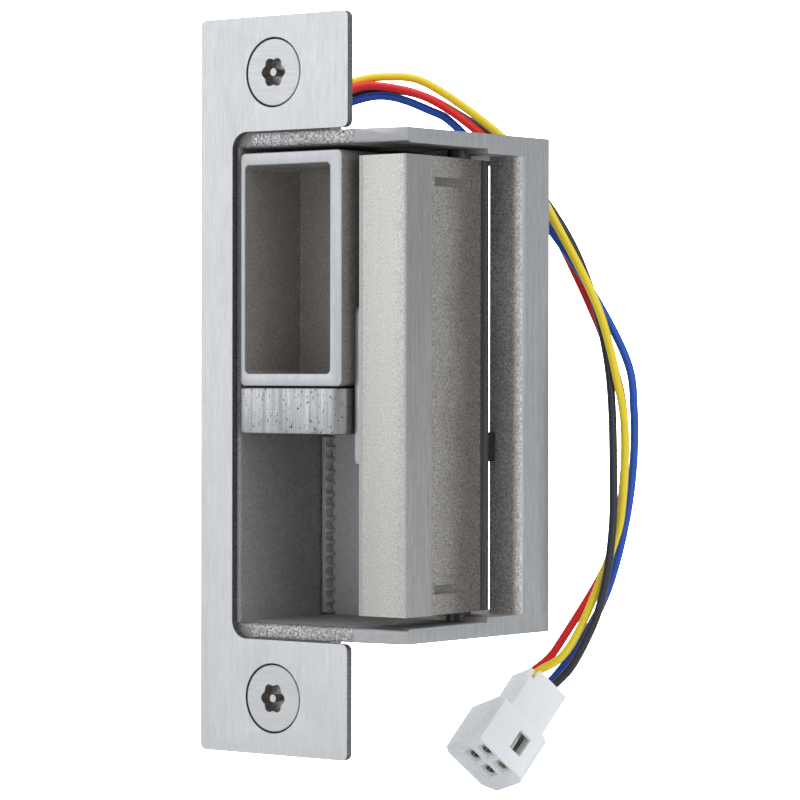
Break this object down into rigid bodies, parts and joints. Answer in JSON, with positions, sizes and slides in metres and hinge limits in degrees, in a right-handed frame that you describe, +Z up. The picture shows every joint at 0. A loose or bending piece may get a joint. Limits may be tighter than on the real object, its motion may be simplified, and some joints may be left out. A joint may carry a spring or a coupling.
{
  "type": "electric door strike",
  "caption": "Electric strike for a door frame: a swinging keeper locked by a solenoid lever, with a deadbolt pocket, an adjustable guard block, a latch monitor flap and a wired plug.",
  "frame": {"origin": "on the faceplate's front face, at mid height, in the middle of the strip beside the cut-out", "axes": "+X towards the keeper's lip, +Y into the door frame, +Z up"},
  "size_m": [0.0498, 0.0656, 0.1331],
  "materials": {
    "brushed_stainless": "vertical brushed grain",
    "cast_stainless": "as cast inside, ground outside",
    "satin_steel": "satin",
    "plated_steel": "zinc plated",
    "spring_steel": "drawn wire",
    "copper_winding": "varnished copper",
    "black_plastic": "moulded",
    "natural_nylon": "milky, slightly translucent",
    "black_rubber": "matt",
    "tinned_brass": "tin plated",
    "black_insulation": "soft sheen",
    "blue_insulation": "soft sheen",
    "red_insulation": "soft sheen",
    "yellow_insulation": "soft sheen"
  },
  "bodies": {
    "housing": {"adjuster_rack": "cast_stainless", "bolt_pocket_insert": "brushed_stainless", "cable_grommet": "black_rubber", "connector_housing": "natural_nylon", "contact_1": "tinned_brass", "contact_2": "tinned_brass", "contact_3": "tinned_brass", "contact_4": "tinned_brass", "cover_screw_1": "plated_steel", "cover_screw_2": "plated_steel", "cover_screw_3": "plated_steel", "faceplate": "brushed_stainless", "flap_pin": "plated_steel", "frame": "cast_stainless", "insert_screw_lower": "plated_steel", "insert_screw_upper": "plated_steel", "keeper_pin": "plated_steel", "keeper_spring": "spring_steel", "lever_pin": "plated_steel", "monitor_switch": "black_plastic", "mounting_screw_bottom": "brushed_stainless", "mounting_screw_top": "brushed_stainless", "plunger_spring": "spring_steel", "rear_cover": "brushed_stainless", "solenoid_bobbin": "black_plastic", "solenoid_coil": "copper_winding", "solenoid_core": "plated_steel", "solenoid_screw_lower": "plated_steel", "solenoid_screw_upper": "plated_steel", "solenoid_yoke": "plated_steel", "switch_screw_lower": "plated_steel", "switch_screw_upper": "plated_steel", "wire_black": "black_insulation", "wire_blue": "blue_insulation", "wire_red": "red_insulation", "wire_yellow": "yellow_insulation"},
    "keeper_body": {"keeper": "satin_steel"},
    "lever_body": {"lock_lever": "satin_steel"},
    "plunger_body": {"plunger": "plated_steel", "plunger_pin": "plated_steel"},
    "flap_body": {"latch_flap": "plated_steel"},
    "button_body": {"switch_button": "natural_nylon"},
    "guard_body": {"guard_block": "satin_steel", "guard_block_screw": "plated_steel"}
  },
  "joints": [
    {"name": "keeper_swing", "type": "hinge", "parent": "housing", "child": "keeper_body", "pos_m": [0.0319, 0.026, 0], "axis": [0, 0, 1], "range_deg": [0, 80], "stiffness_Nm_per_rad": 0.01},
    {"name": "plunger_slide", "type": "slide", "parent": "housing", "child": "plunger_body", "axis": [0, 0, 1], "range_m": [0, 0.002], "deforming": ["plunger_spring"]},
    {"name": "lever_swing", "type": "hinge", "parent": "housing", "child": "lever_body", "pos_m": [0.0059, 0.0362, -0.014], "axis": [0, -1, 0], "range_deg": [0, 16.4]},
    {"name": "flap_swing", "type": "hinge", "parent": "housing", "child": "flap_body", "pos_m": [0.0263, 0.0194, 0], "axis": [0, 0, 1], "range_deg": [0, 2.3]},
    {"name": "button_press", "type": "slide", "parent": "housing", "child": "button_body", "axis": [-1, 0, 0], "range_m": [0, 0.00016]},
    {"name": "guard_block_adjust", "type": "slide", "parent": "housing", "child": "guard_body", "axis": [0, 0, -1], "range_m": [0, 0.03]}
  ],
  "couplings": [
    {"joint": "lever_swing", "follows": "plunger_slide", "rad_per_m": 142},
    {"joint": "button_press", "follows": "flap_swing", "m_per_rad": 0.0038}
  ]
}
